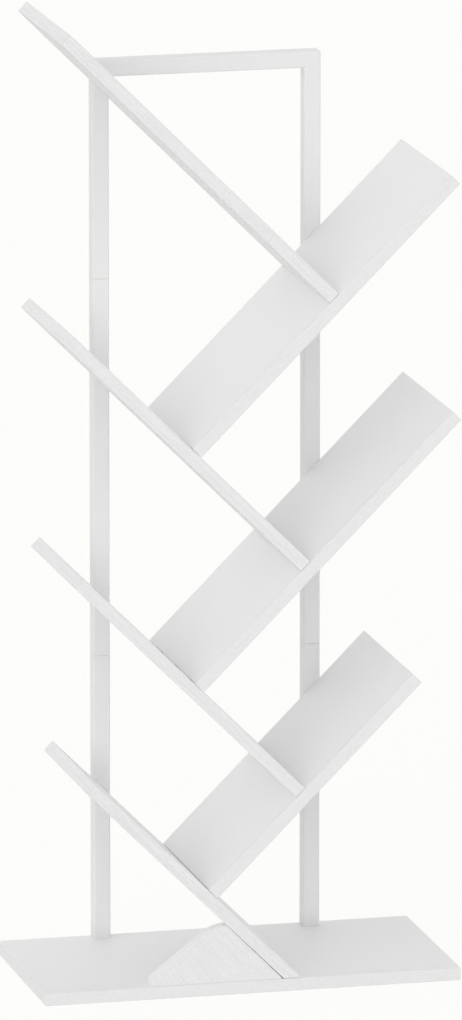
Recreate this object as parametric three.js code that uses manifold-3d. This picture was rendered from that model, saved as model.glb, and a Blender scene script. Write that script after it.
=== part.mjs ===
// Tree shaped bookshelf. Seven slanted boards climb a white steel tube frame in a zigzag, like the
// branches of a tree, and the frame stands at the back of a flat base board.
//
// Lengths are in millimetres. X runs to the right, Y to the back and Z up. The origin is on the
// floor, under the middle of the base board.
import * as THREE from "three";
import { mergeVertices } from "three/addons/utils/BufferGeometryUtils.js";
import Module from "manifold-3d";

const wasm = await Module();
wasm.setup();

// Base board
const baseWidth = 500;
const baseDepth = 250;
const baseThickness = 15;

// Slanted shelves. The two leans add up to a right angle, so a square cut end sits flat on the
// next board.
const shelfThickness = 15;
const leftLeanDegrees = 45;

// Edges of all boards: the long edges are rounded, the front and back faces have a finer break
const edgeRadius = 1;
const edgeBreak = 0.6;

// Steel frame, made of square tube
const postSpacing = 255;
const lowerPostLength = 344.5;
const middlePostLength = 452.5;
const upperPostLength = 260;
const tubeSize = 20;
const tubeWall = 1.2;
const tubeCornerRadius = 2;
const frameCornerRadius = 2.5;
const weldLeg = 2.5;
const weldRoot = 0.4;
const tubeJointLine = 0.3;

// Sleeves that join the tubes end to end, and the screws that hold them
const sleeveLength = 50;
const sleeveWall = 1.5;
const sleeveFit = 0.15;
const sleeveScrewRise = 12;
const sleeveScrewShankRadius = 1.9;
const sleeveScrewHeadRadius = 3.6;
const sleeveScrewHeadHeight = 1.8;
const sleeveScrewReach = 8;

// Bolts through the posts into the back edges of the shelves
const shelfBoltShankRadius = 2.5;
const shelfBoltHeadRadius = 5;
const shelfBoltHeadHeight = 2.6;
const shelfBoltBite = 25;

// Screws and dowels where one shelf stands on the next
const jointScrewShankRadius = 2.2;
const jointScrewHeadRadius = 4.4;
const jointScrewHeadHeight = 2.6;
const jointScrewBite = 33;
const dowelRadius = 3;
const dowelLength = 26;
const dowelChamfer = 0.8;
const dowelSeatShare = 0.6;
const jointScrewDepthShares = { front: 0.18, rear: 0.82 };
const jointDowelDepthShare = 0.5;

// Screws up through the base into the lowest shelf
const footScrewShankRadius = 1.9;
const footScrewHeadRadius = 3.8;
const footScrewHeadHeight = 2.4;
const footScrewBite = 12;
const footScrewInset = 4.5;
const footScrewDepthShares = { front: 0.28, rear: 0.82 };

// Gusset: a small panel under the lowest shelf, flush with the front
const gussetLength = 160;
const gussetThickness = 15;
const gussetToeHeight = 9;
const gussetCrownHeight = 68.5;
const gussetCrownRadius = 42;
const gussetTipGap = 0.9;
const gussetScrewBite = 25;
const gussetScrewPlaceShares = { left: 0.3, right: 0.58 };

// Bolts up through the base into threaded inserts in the feet of the posts
const postBoltShankRadius = 3;
const postBoltHeadRadius = 5.5;
const postBoltHeadHeight = 3.2;
const postBoltSink = 5;
const insertHeight = 14;

// Fits
const seatGap = 0.3;
const headSink = 0.3;
const holeClearance = 0.2;
const holeEndClearance = 0.5;
const cutOverrun = 1;

// Head shapes, as shares of the head's own radius and height
const panCrownShare = 0.62;
const panRimShare = 0.45;
const countersunkRimShare = 0.2;
const socketRadiusShare = 0.45;
const socketDepthShare = 0.6;

// The shelves from the top down. heightShare is where the middle of the board crosses its post, as
// a share of the frame's height. reachShare is how far its upper end reaches sideways, as a share
// of half the base's width.
const LEFT = -1;
const RIGHT = 1;
const shelfRows = [
  { name: "left_shelf_1", side: LEFT, heightShare: 0.9767, reachShare: 0.883 },
  { name: "right_shelf_1", side: RIGHT, heightShare: 0.7878, reachShare: 0.9605 },
  { name: "left_shelf_2", side: LEFT, heightShare: 0.6507, reachShare: 0.8745 },
  { name: "right_shelf_2", side: RIGHT, heightShare: 0.5247, reachShare: 0.9715 },
  { name: "left_shelf_3", side: LEFT, heightShare: 0.3932, reachShare: 0.831 },
  { name: "right_shelf_3", side: RIGHT, heightShare: 0.278, reachShare: 0.7855 },
  { name: "left_shelf_4", side: LEFT, heightShare: 0.1768, reachShare: 0.7715 },
];

// Counts of flats on round shapes
const pinSides = 12;
const cornerSteps = 2;
const breakSteps = 2;
const crownSteps = 5;
const frameCornerSteps = 4;

// Levels and planes that follow from the sizes above
const lowerJointHeight = baseThickness + lowerPostLength;
const upperJointHeight = lowerJointHeight + middlePostLength;
const frameTop = upperJointHeight + upperPostLength;
const frontPlane = -baseDepth / 2;
const shelfDepth = baseDepth - tubeSize;
const tubeHalf = tubeSize / 2;
const tubeBore = tubeSize - 2 * tubeWall;
const plugSize = tubeBore - 2 * sleeveFit;
const plugCornerRadius = Math.max(tubeCornerRadius - tubeWall, sleeveFit);
const postX = { [LEFT]: -postSpacing / 2, [RIGHT]: postSpacing / 2 };
const sideNames = { [LEFT]: "left", [RIGHT]: "right" };
const leftLean = THREE.MathUtils.degToRad(leftLeanDegrees);
const rightLean = Math.PI / 2 - leftLean;

// Finishes
function finish(color, roughness, metalness) {
  return new THREE.MeshStandardMaterial({ color, roughness, metalness, flatShading: true });
}

const whiteBoard = finish(0xe9e8e6, 0.55, 0);
const whitePaint = finish(0xe2e1df, 0.4, 0);
const zincSteel = finish(0xb4b6b9, 0.35, 1);
const beech = finish(0xd2b184, 0.7, 0);

function named(name, geometry, material) {
  const mesh = new THREE.Mesh(geometry, material);
  mesh.name = name;
  return mesh;
}

// Triangles that collapse when equal points are merged are dropped
function mergedGeometry(geometry) {
  const bare = geometry.clone();
  bare.deleteAttribute("normal");
  bare.deleteAttribute("uv");
  const merged = mergeVertices(bare);
  const corners = Array.from(merged.index.array);
  const kept = [];
  for (let i = 0; i < corners.length; i += 3) {
    const [a, b, c] = corners.slice(i, i + 3);
    if (a !== b && b !== c && c !== a) {
      kept.push(a, b, c);
    }
  }
  merged.setIndex(kept);
  return merged;
}

function solidFrom(geometry) {
  const merged = mergedGeometry(geometry);
  return new wasm.Manifold(new wasm.Mesh({
    numProp: 3,
    vertProperties: new Float32Array(merged.attributes.position.array),
    triVerts: new Uint32Array(merged.index.array),
  }));
}

function geometryFrom(solid) {
  const mesh = solid.getMesh();
  const geometry = new THREE.BufferGeometry();
  geometry.setAttribute("position", new THREE.BufferAttribute(mesh.vertProperties, mesh.numProp));
  geometry.setIndex(new THREE.BufferAttribute(mesh.triVerts, 1));
  geometry.computeVertexNormals();
  return geometry;
}

function cut(geometry, cutters) {
  let solid = solidFrom(geometry);
  for (const cutter of cutters) {
    solid = solid.subtract(solidFrom(cutter));
  }
  return geometryFrom(solid);
}

// A round bar between two points
function bar(from, to, radius) {
  const geometry = new THREE.CylinderGeometry(radius, radius, from.distanceTo(to), pinSides);
  const direction = to.clone().sub(from).normalize();
  const turn = new THREE.Quaternion().setFromUnitVectors(new THREE.Vector3(0, 1, 0), direction);
  geometry.applyQuaternion(turn);
  const middle = from.clone().lerp(to, 1 / 2);
  return geometry.translate(middle.x, middle.y, middle.z);
}

// A profile of [radius, height] pairs turned round the Z axis
function revolve(profile) {
  const points = profile.map(([radius, height]) => new THREE.Vector2(radius, height));
  return new THREE.LatheGeometry(points, pinSides).rotateX(Math.PI / 2);
}

// A hexagon socket in the underside of a head at the given height
function socket(headRadius, headHeight, face) {
  const depth = headHeight * socketDepthShare;
  const radius = headRadius * socketRadiusShare;
  const geometry = new THREE.CylinderGeometry(radius, radius, depth + cutOverrun, 6);
  return geometry.rotateX(Math.PI / 2).translate(0, 0, face + (depth - cutOverrun) / 2);
}

// A bolt with a domed head below z = 0 and its shank above
function panBolt(headRadius, headHeight, shankRadius, length) {
  const blank = revolve([
    [0, -headHeight],
    [headRadius * panCrownShare, -headHeight],
    [headRadius, -headHeight * panRimShare],
    [headRadius, 0],
    [shankRadius, 0],
    [shankRadius, length - shankRadius / 2],
    [shankRadius / 2, length],
    [0, length],
  ]);
  return cut(blank, [socket(headRadius, headHeight, -headHeight)]);
}

// A screw with a countersunk head that starts at z = 0 and a pointed end
function countersunkScrew(headRadius, headHeight, shankRadius, length) {
  const blank = revolve([
    [0, 0],
    [headRadius, 0],
    [headRadius, headHeight * countersunkRimShare],
    [shankRadius, headHeight],
    [shankRadius, length - 2 * shankRadius],
    [0, length],
  ]);
  return cut(blank, [socket(headRadius, headHeight, 0)]);
}

// The hole for a screw or bolt that enters a board at z = 0: a round sink of the head's radius, a
// cone where the head has one, and a clear hole for the shank
function headedHole(headRadius, sink, cone, shankRadius, depth) {
  const headBore = headRadius + holeClearance;
  const shankBore = shankRadius + holeClearance;
  return revolve([
    [0, -cutOverrun],
    [headBore, -cutOverrun],
    [headBore, sink],
    [shankBore, sink + cone],
    [shankBore, depth + cutOverrun],
    [0, depth + cutOverrun],
  ]);
}

// The hole for a countersunk screw whose head lies just under the surface
function countersunkHole(headRadius, headHeight, shankRadius, depth) {
  const rim = headHeight * countersunkRimShare;
  return headedHole(headRadius, headSink + rim, headHeight - rim, shankRadius, depth);
}

function dowel() {
  return revolve([
    [0, 0],
    [dowelRadius - dowelChamfer, 0],
    [dowelRadius, dowelChamfer],
    [dowelRadius, dowelLength - dowelChamfer],
    [dowelRadius - dowelChamfer, dowelLength],
    [0, dowelLength],
  ]);
}

// A corner of an outline, with the radius that rounds it
function corner(x, y, radius) {
  return { point: new THREE.Vector2(x, y), radius };
}

// An outline through the given corners. At each one an arc touches the edges on both sides.
function roundedOutline(corners) {
  const outline = new THREE.Shape();
  const pointAt = (i) => corners[(i + corners.length) % corners.length].point;
  corners.forEach(({ point, radius }, i) => {
    const arrive = point.clone().sub(pointAt(i - 1)).normalize();
    const leave = pointAt(i + 1).clone().sub(point).normalize();
    const side = Math.sign(arrive.cross(leave));
    const turn = Math.acos(arrive.dot(leave));
    const start = point.clone().addScaledVector(arrive, -radius * Math.tan(turn / 2));
    const inward = new THREE.Vector2(-arrive.y * side, arrive.x * side);
    const centre = start.clone().addScaledVector(inward, radius);
    const from = inward.clone().negate().angle();
    if (i === 0) {
      outline.moveTo(start.x, start.y);
    } else {
      outline.lineTo(start.x, start.y);
    }
    outline.absarc(centre.x, centre.y, radius, from, from + side * turn, side < 0);
  });
  outline.closePath();
  return outline;
}

// A board: its outline is drawn in X and Z, and it runs from the front plane back by the depth
function board(outline, depth, arcSteps) {
  const geometry = new THREE.ExtrudeGeometry(outline, {
    depth: depth - 2 * edgeBreak,
    curveSegments: arcSteps,
    bevelEnabled: true,
    bevelThickness: edgeBreak,
    bevelSize: edgeBreak,
    bevelOffset: -edgeBreak,
    bevelSegments: breakSteps,
  });
  geometry.translate(0, 0, edgeBreak);
  geometry.rotateX(Math.PI / 2);
  return geometry.translate(0, frontPlane + depth, 0);
}

// Places a share of the way back along the shelves
function depthAt(share) {
  return frontPlane + shelfDepth * share;
}

// The mid-plane of each slanted shelf, seen from the front. down runs along the board to its lower
// end and up stands square on its top face.
function slant(row) {
  const angle = row.side === LEFT ? leftLean : rightLean;
  const down = new THREE.Vector2(-row.side * Math.cos(angle), -Math.sin(angle));
  const up = new THREE.Vector2(-row.side * Math.sin(angle), Math.cos(angle));
  const crossing = new THREE.Vector2(postX[row.side], row.heightShare * frameTop);
  const reach = row.side * row.reachShare * baseWidth / 2;
  const upperEnd = crossing.clone().addScaledVector(down, (reach - crossing.x) / down.x);
  return { ...row, angle, down, up, crossing, upperEnd };
}

// How far along its board a point in X and Z lies, and how far above the mid-plane
function along(shelf, point) {
  return point.clone().sub(shelf.upperEnd).dot(shelf.down);
}

function above(shelf, point) {
  return point.clone().sub(shelf.upperEnd).dot(shelf.up);
}

// A point on the board in the board's own turned group
function onBoard(shelf, distance, depth, height) {
  return new THREE.Vector3(-shelf.side * distance, depth, height);
}

// Each shelf ends where its mid-plane meets the top face of the next one
function seatOn(shelf, next) {
  const topFace = next.crossing.clone().addScaledVector(next.up, shelfThickness / 2);
  const run = topFace.sub(shelf.upperEnd).dot(next.up) / shelf.down.dot(next.up);
  return shelf.upperEnd.clone().addScaledVector(shelf.down, run);
}

const shelves = shelfRows.map(slant);
shelves.forEach((shelf, i) => {
  const next = shelves[i + 1];
  if (next) {
    const seat = seatOn(shelf, next);
    shelf.length = along(shelf, seat) - seatGap;
    next.carriesAt = along(next, seat);
  }
});
const lowestShelf = shelves[shelves.length - 1];

// How far along the lowest shelf a face at the given height above its mid-plane meets a level
function runToLevel(shelf, height, level) {
  return (shelf.upperEnd.y + shelf.up.y * height - level) / -shelf.down.y;
}

// Where the underside of the lowest shelf would meet the top of the base
const footRun = runToLevel(lowestShelf, -shelfThickness / 2, baseThickness);
const foot = lowestShelf.upperEnd.clone()
  .addScaledVector(lowestShelf.down, footRun)
  .addScaledVector(lowestShelf.up, -shelfThickness / 2);

// Gusset outline, measured from the foot. Its long edge meets the shelf at the crown and leaves it
// a little towards the tip.
const gussetTip = -gussetTipGap / Math.sin(leftLean);
const gussetCrown = -seatGap / Math.sin(leftLean) - gussetCrownHeight / Math.tan(leftLean);
const gussetHeel = new THREE.Vector2((gussetTip + gussetCrown) / 2, gussetCrownHeight / 2);
const gussetMiddleDepth = frontPlane + gussetThickness / 2;

function shelfOutline(shelf) {
  const half = shelfThickness / 2;
  const seatLevel = baseThickness + seatGap;
  const isLowest = shelf === lowestShelf;
  const topRun = isLowest ? runToLevel(shelf, half, seatLevel) : shelf.length;
  const bottomRun = isLowest ? runToLevel(shelf, -half, seatLevel) : shelf.length;
  const ends = [[0, half], [topRun, half], [bottomRun, -half], [0, -half]];
  return roundedOutline(
    ends.map(([run, height]) => corner(-shelf.side * run, height, edgeRadius)),
  );
}

// The pilot hole in the back edge for the bolt through the post
function backEdgeHole(shelf) {
  const run = along(shelf, shelf.crossing);
  const back = frontPlane + shelfDepth;
  const mouth = onBoard(shelf, run, back + cutOverrun, 0);
  const end = onBoard(shelf, run, back - shelfBoltBite - holeEndClearance, 0);
  return bar(mouth, end, shelfBoltShankRadius + holeClearance);
}

// The holes that a shelf has where the one above stands on it
function carryingHoles(shelf) {
  const half = shelfThickness / 2;
  const screws = Object.values(jointScrewDepthShares).map((share) => {
    const hole = countersunkHole(
      jointScrewHeadRadius, jointScrewHeadHeight, jointScrewShankRadius, shelfThickness,
    );
    const mouth = onBoard(shelf, shelf.carriesAt, depthAt(share), -half);
    return hole.translate(mouth.x, mouth.y, mouth.z);
  });
  const middle = depthAt(jointDowelDepthShare);
  const seat = shelfThickness * dowelSeatShare + holeEndClearance;
  const dowelHole = bar(
    onBoard(shelf, shelf.carriesAt, middle, half - seat),
    onBoard(shelf, shelf.carriesAt, middle, half + cutOverrun),
    dowelRadius + holeClearance,
  );
  return [...screws, dowelHole];
}

// The holes in the end grain of a shelf that stands on the next one
function standingHoles(shelf) {
  const hole = (share, radius, bite) => bar(
    onBoard(shelf, shelf.length + cutOverrun, depthAt(share), 0),
    onBoard(shelf, shelf.length - bite - holeEndClearance, depthAt(share), 0),
    radius + holeClearance,
  );
  const screws = Object.values(jointScrewDepthShares)
    .map((share) => hole(share, jointScrewShankRadius, jointScrewBite));
  const dowelBite = dowelLength - shelfThickness * dowelSeatShare;
  return [...screws, hole(jointDowelDepthShare, dowelRadius, dowelBite)];
}

// The lowest shelf is screwed to the base from below and doweled to the gusset
function footHoles(shelf) {
  const footPoint = (level) => new THREE.Vector2(foot.x + footScrewInset, level);
  const onShelf = (point, depth) => onBoard(shelf, along(shelf, point), depth, above(shelf, point));
  const holes = Object.values(footScrewDepthShares).map((share) => bar(
    onShelf(footPoint(baseThickness - cutOverrun), depthAt(share)),
    onShelf(footPoint(baseThickness + footScrewBite + holeEndClearance), depthAt(share)),
    footScrewShankRadius + holeClearance,
  ));
  const run = gussetDowelRun();
  const seat = shelfThickness * dowelSeatShare + holeEndClearance;
  holes.push(bar(
    onBoard(shelf, run, gussetMiddleDepth, -shelfThickness / 2 - cutOverrun),
    onBoard(shelf, run, gussetMiddleDepth, -shelfThickness / 2 + seat),
    dowelRadius + holeClearance,
  ));
  return holes;
}

// The gusset's dowel stands square on the shelf, half way up the edge that they share
function gussetDowelRun() {
  const point = new THREE.Vector2(foot.x + gussetHeel.x, baseThickness + gussetHeel.y);
  return along(lowestShelf, point);
}

function shelfMesh(shelf) {
  const holes = [backEdgeHole(shelf)];
  if (shelf.carriesAt !== undefined) {
    holes.push(...carryingHoles(shelf));
  }
  holes.push(...(shelf === lowestShelf ? footHoles(shelf) : standingHoles(shelf)));
  const blank = board(shelfOutline(shelf), shelfDepth, cornerSteps);
  return named(shelf.name, cut(blank, holes), whiteBoard);
}

// The screws and the dowel that fix the shelf above to this one
function jointFasteners(shelf) {
  const half = shelfThickness / 2;
  const meshes = Object.entries(jointScrewDepthShares).map(([place, share]) => {
    const length = shelfThickness - headSink + jointScrewBite;
    const geometry = countersunkScrew(
      jointScrewHeadRadius, jointScrewHeadHeight, jointScrewShankRadius, length,
    );
    const mesh = named(`${shelf.name}_joint_screw_${place}`, geometry, zincSteel);
    mesh.position.copy(onBoard(shelf, shelf.carriesAt, depthAt(share), headSink - half));
    return mesh;
  });
  const pin = named(`${shelf.name}_joint_dowel`, dowel(), beech);
  const seat = half - shelfThickness * dowelSeatShare;
  pin.position.copy(onBoard(shelf, shelf.carriesAt, depthAt(jointDowelDepthShare), seat));
  return [...meshes, pin];
}

function gussetDowel() {
  const pin = named("gusset_dowel", dowel(), beech);
  const seat = shelfThickness * dowelSeatShare - shelfThickness / 2;
  const run = gussetDowelRun();
  pin.position.copy(onBoard(lowestShelf, run, gussetMiddleDepth, seat - dowelLength));
  return pin;
}

// Everything that turns with one slanted shelf
function shelfGroup(shelf) {
  const group = new THREE.Group();
  group.position.set(shelf.upperEnd.x, 0, shelf.upperEnd.y);
  group.rotation.y = -shelf.side * shelf.angle;
  group.add(shelfMesh(shelf));
  if (shelf.carriesAt !== undefined) {
    group.add(...jointFasteners(shelf));
  }
  if (shelf === lowestShelf) {
    group.add(gussetDowel());
  }
  return group;
}

// The gusset's sloping edge runs from the toe up to the crown's arc, which is level where it meets
// the underside of the shelf
function gussetOutline() {
  const toe = new THREE.Vector2(-gussetLength, gussetToeHeight);
  const centre = new THREE.Vector2(gussetCrown - edgeRadius, gussetCrownHeight - gussetCrownRadius);
  const span = centre.clone().sub(toe);
  const slope = span.angle() + Math.asin(gussetCrownRadius / span.length());
  const peak = toe.x + (gussetCrownHeight - gussetToeHeight) / Math.tan(slope);
  return roundedOutline([
    corner(toe.x, 0, edgeRadius),
    corner(toe.x, toe.y, edgeRadius),
    corner(peak, gussetCrownHeight, gussetCrownRadius),
    corner(gussetCrown, gussetCrownHeight, edgeRadius),
    corner(gussetTip, 0, edgeRadius),
  ]);
}

function gussetMesh() {
  const blank = board(gussetOutline(), gussetThickness, crownSteps);
  const holes = Object.values(gussetScrewPlaceShares).map((share) => {
    const x = (share - 1) * gussetLength;
    const mouth = new THREE.Vector3(x, gussetMiddleDepth, -cutOverrun);
    const end = new THREE.Vector3(x, gussetMiddleDepth, gussetScrewBite + holeEndClearance);
    return bar(mouth, end, jointScrewShankRadius + holeClearance);
  });
  const dowelBite = dowelLength - shelfThickness * dowelSeatShare + holeEndClearance;
  const intoGusset = new THREE.Vector3(-lowestShelf.up.x, 0, -lowestShelf.up.y);
  const edge = new THREE.Vector3(gussetHeel.x, gussetMiddleDepth, gussetHeel.y);
  holes.push(bar(
    edge.clone().addScaledVector(intoGusset, -cutOverrun),
    edge.clone().addScaledVector(intoGusset, dowelBite),
    dowelRadius + holeClearance,
  ));
  const mesh = named("front_gusset", cut(blank, holes), whiteBoard);
  mesh.position.set(foot.x, 0, baseThickness);
  return mesh;
}

// Places on the base where screws and bolts come up from below
function postBoltPlaces() {
  const depth = baseDepth / 2 - tubeHalf;
  return [LEFT, RIGHT].map((side) => [`${sideNames[side]}_post_bolt`, postX[side], depth]);
}

function footScrewPlaces() {
  return Object.entries(footScrewDepthShares)
    .map(([place, share]) => [`foot_screw_${place}`, foot.x + footScrewInset, depthAt(share)]);
}

function gussetScrewPlaces() {
  return Object.entries(gussetScrewPlaceShares).map(([place, share]) => (
    [`gusset_screw_${place}`, foot.x + (share - 1) * gussetLength, gussetMiddleDepth]
  ));
}

function baseMesh() {
  const half = baseWidth / 2;
  const ends = [[-half, 0], [half, 0], [half, baseThickness], [-half, baseThickness]];
  const outline = roundedOutline(ends.map(([x, z]) => corner(x, z, edgeRadius)));
  const blank = board(outline, baseDepth, cornerSteps);
  const holes = [
    ...postBoltPlaces().map(([, x, y]) => (
      headedHole(postBoltHeadRadius, postBoltSink, 0, postBoltShankRadius, baseThickness)
        .translate(x, y, 0)
    )),
    ...footScrewPlaces().map(([, x, y]) => (
      countersunkHole(
        footScrewHeadRadius, footScrewHeadHeight, footScrewShankRadius, baseThickness,
      ).translate(x, y, 0)
    )),
    ...gussetScrewPlaces().map(([, x, y]) => (
      countersunkHole(
        jointScrewHeadRadius, jointScrewHeadHeight, jointScrewShankRadius, baseThickness,
      ).translate(x, y, 0)
    )),
  ];
  return named("base_board", cut(blank, holes), whiteBoard);
}

// Everything that is driven up through the base
function baseFasteners() {
  const postBoltLength = baseThickness - postBoltSink + insertHeight;
  const rise = baseThickness - headSink;
  const bolts = postBoltPlaces().map(([name, x, y]) => {
    const geometry = panBolt(
      postBoltHeadRadius, postBoltHeadHeight, postBoltShankRadius, postBoltLength,
    );
    const mesh = named(name, geometry, zincSteel);
    mesh.position.set(x, y, postBoltSink);
    return mesh;
  });
  const footScrews = footScrewPlaces().map(([name, x, y]) => {
    const geometry = countersunkScrew(
      footScrewHeadRadius, footScrewHeadHeight, footScrewShankRadius, rise + footScrewBite,
    );
    const mesh = named(name, geometry, zincSteel);
    mesh.position.set(x, y, headSink);
    return mesh;
  });
  const gussetScrews = gussetScrewPlaces().map(([name, x, y]) => {
    const geometry = countersunkScrew(
      jointScrewHeadRadius, jointScrewHeadHeight, jointScrewShankRadius, rise + gussetScrewBite,
    );
    const mesh = named(name, geometry, zincSteel);
    mesh.position.set(x, y, headSink);
    return mesh;
  });
  return [...bolts, ...footScrews, ...gussetScrews];
}

// A square with rounded corners, as points that run round it
function squareSection(size, radius) {
  const half = size / 2;
  const ends = [[half, half], [-half, half], [-half, -half], [half, -half]];
  const outline = roundedOutline(ends.map(([x, y]) => corner(x, y, radius)));
  const section = outline.getPoints(cornerSteps);
  section.pop();
  return section;
}

// A straight length of square tube or bar that stands on z = 0
function squareLength(size, radius, length, boreShape) {
  const section = new THREE.Shape(squareSection(size, radius));
  if (boreShape) {
    section.holes.push(boreShape);
  }
  return new THREE.ExtrudeGeometry(section, { depth: length, bevelEnabled: false });
}

function postTube(side, bottom, top) {
  const bore = new THREE.Path(squareSection(tubeBore, plugCornerRadius));
  const geometry = squareLength(tubeSize, tubeCornerRadius, top - bottom, bore);
  return geometry.translate(postX[side], 0, bottom);
}

// One station of the bent frame: offset is how far a point of the section lies outside the
// centre line, and swing goes from 0 on the leg's side to a quarter turn on the bar's side. The
// inside of the corner stays a sharp mitre and the outside follows an arc.
function cornerPoint(side, offset, depth, swing) {
  const pivot = Math.min(offset, tubeHalf - frameCornerRadius);
  const radius = offset - pivot;
  return new THREE.Vector3(
    postX[side] + side * (pivot + radius * Math.cos(swing)),
    depth,
    frameTop - tubeHalf + pivot + radius * Math.sin(swing),
  );
}

// The whole path of one section point: up the left leg, over the bar and down the right leg
function frameStations(point) {
  const bottom = upperJointHeight + tubeJointLine;
  const legEnd = (side) => new THREE.Vector3(postX[side] + side * point.x, point.y, bottom);
  const stations = [legEnd(LEFT)];
  for (let step = 0; step <= frameCornerSteps; step += 1) {
    const swing = (Math.PI / 2) * (step / frameCornerSteps);
    stations.push(cornerPoint(LEFT, point.x, point.y, swing));
  }
  for (let step = frameCornerSteps; step >= 0; step -= 1) {
    const swing = (Math.PI / 2) * (step / frameCornerSteps);
    stations.push(cornerPoint(RIGHT, point.x, point.y, swing));
  }
  stations.push(legEnd(RIGHT));
  return stations;
}

// The skin of the bent tube: the outer and the bore section are carried along the path, and rings
// close the two open ends
function bentTube() {
  const outer = squareSection(tubeSize, tubeCornerRadius).map(frameStations);
  const inner = squareSection(tubeBore, plugCornerRadius).map(frameStations);
  const positions = [];
  const quad = (a, b, c, d) => {
    for (const corner of [a, c, b, a, d, c]) {
      positions.push(corner.x, corner.y, corner.z);
    }
  };
  const last = outer[0].length - 1;
  outer.forEach((path, i) => {
    const next = (i + 1) % outer.length;
    for (let step = 0; step < last; step += 1) {
      quad(path[step], outer[next][step], outer[next][step + 1], path[step + 1]);
      quad(inner[i][step], inner[i][step + 1], inner[next][step + 1], inner[next][step]);
    }
    quad(path[0], inner[i][0], inner[next][0], outer[next][0]);
    quad(path[last], outer[next][last], inner[next][last], inner[i][last]);
  });
  const geometry = new THREE.BufferGeometry();
  geometry.setAttribute("position", new THREE.Float32BufferAttribute(positions, 3));
  return geometry;
}

// The weld bead in an inside corner of the frame: a three-cornered fillet that roots in both tubes
function weldBead(side) {
  const x = postX[side] - side * tubeHalf;
  const z = frameTop - tubeSize;
  const reach = weldRoot + weldLeg;
  const corners = [[weldRoot, weldRoot], [-reach, weldRoot], [weldRoot, -reach]];
  const points = corners.map(([out, rise]) => new THREE.Vector2(x + side * out, z + rise));
  const width = tubeSize - 2 * tubeCornerRadius;
  const geometry = new THREE.ExtrudeGeometry(new THREE.Shape(points), {
    depth: width,
    bevelEnabled: false,
  });
  return geometry.rotateX(Math.PI / 2).translate(0, width / 2, 0);
}

// Holes through both walls for the shelf bolts, and through the back wall and the sleeve behind it
// for the sleeve screws
function postHoles(side) {
  const x = postX[side];
  const hole = (height, front, radius) => bar(
    new THREE.Vector3(x, tubeHalf + cutOverrun, height),
    new THREE.Vector3(x, front, height),
    radius + holeClearance,
  );
  const through = shelves.filter((shelf) => shelf.side === side)
    .map((shelf) => hole(shelf.crossing.y, -tubeHalf - cutOverrun, shelfBoltShankRadius));
  const sleeve = [lowerJointHeight, upperJointHeight]
    .map((joint) => hole(joint + sleeveScrewRise, 0, sleeveScrewShankRadius));
  return [...through, ...sleeve];
}

function topFrame() {
  let solid = solidFrom(bentTube());
  for (const side of [LEFT, RIGHT]) {
    solid = solid.add(solidFrom(weldBead(side)));
    for (const hole of postHoles(side)) {
      solid = solid.subtract(solidFrom(hole));
    }
  }
  return named("top_frame", geometryFrom(solid), whitePaint);
}

// The sleeve inside one tube joint and the screw that holds it, both named after the joint
function tubeJoint(side, level, joint) {
  const name = `${sideNames[side]}_${level}_sleeve`;
  const bore = new THREE.Path(squareSection(plugSize - 2 * sleeveWall, plugCornerRadius));
  const blank = squareLength(plugSize, plugCornerRadius, sleeveLength, bore);
  blank.translate(postX[side], 0, joint - sleeveLength / 2);
  const sleeve = named(name, cut(blank, postHoles(side)), zincSteel);
  const geometry = panBolt(
    sleeveScrewHeadRadius, sleeveScrewHeadHeight, sleeveScrewShankRadius, sleeveScrewReach,
  );
  const screw = named(`${name}_screw`, geometry, zincSteel);
  screw.rotation.x = Math.PI / 2;
  screw.position.set(postX[side], tubeHalf, joint + sleeveScrewRise);
  return [sleeve, screw];
}

// The threaded insert in the foot of a post
function postInsert(side) {
  const blank = squareLength(plugSize, plugCornerRadius, insertHeight);
  blank.translate(postX[side], 0, baseThickness);
  const hole = bar(
    new THREE.Vector3(postX[side], 0, baseThickness - cutOverrun),
    new THREE.Vector3(postX[side], 0, baseThickness + insertHeight + cutOverrun),
    postBoltShankRadius + holeClearance,
  );
  return named(`${sideNames[side]}_post_insert`, cut(blank, [hole]), zincSteel);
}

function shelfBolt(shelf) {
  const geometry = panBolt(
    shelfBoltHeadRadius, shelfBoltHeadHeight, shelfBoltShankRadius, tubeSize + shelfBoltBite,
  );
  const mesh = named(`${shelf.name}_bolt`, geometry, zincSteel);
  mesh.rotation.x = Math.PI / 2;
  mesh.position.set(shelf.crossing.x, tubeHalf, shelf.crossing.y);
  return mesh;
}

// The steel frame, with all that is fixed in it. Its group's origin is midway between the posts.
function frameGroup() {
  const group = new THREE.Group();
  group.position.y = baseDepth / 2 - tubeHalf;
  group.add(topFrame());
  for (const side of [LEFT, RIGHT]) {
    const middle = postTube(side, lowerJointHeight + tubeJointLine, upperJointHeight);
    const lower = postTube(side, baseThickness, lowerJointHeight);
    const prefix = sideNames[side];
    group.add(named(`${prefix}_middle_post`, cut(middle, postHoles(side)), whitePaint));
    group.add(named(`${prefix}_lower_post`, cut(lower, postHoles(side)), whitePaint));
    group.add(...tubeJoint(side, "upper", upperJointHeight));
    group.add(...tubeJoint(side, "lower", lowerJointHeight));
    group.add(postInsert(side));
  }
  group.add(...shelves.map(shelfBolt));
  return group;
}

const bookshelf = new THREE.Group();
bookshelf.add(baseMesh(), ...baseFasteners());
bookshelf.add(...shelves.map(shelfGroup));
bookshelf.add(gussetMesh());
bookshelf.add(frameGroup());

export default bookshelf;
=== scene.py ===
"""Tree shaped bookshelf: finishes, fasteners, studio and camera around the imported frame.

The boards, the gusset and the tubes are the frame's own nodes in better finishes. Every screw and
bolt is turned here on its own axis and stands for its node. Lengths are in metres, +Z is up, and
the front of the shelf faces -Y.
"""

import logging
import math
from dataclasses import dataclass, replace
from enum import Enum
from typing import Any

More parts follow.
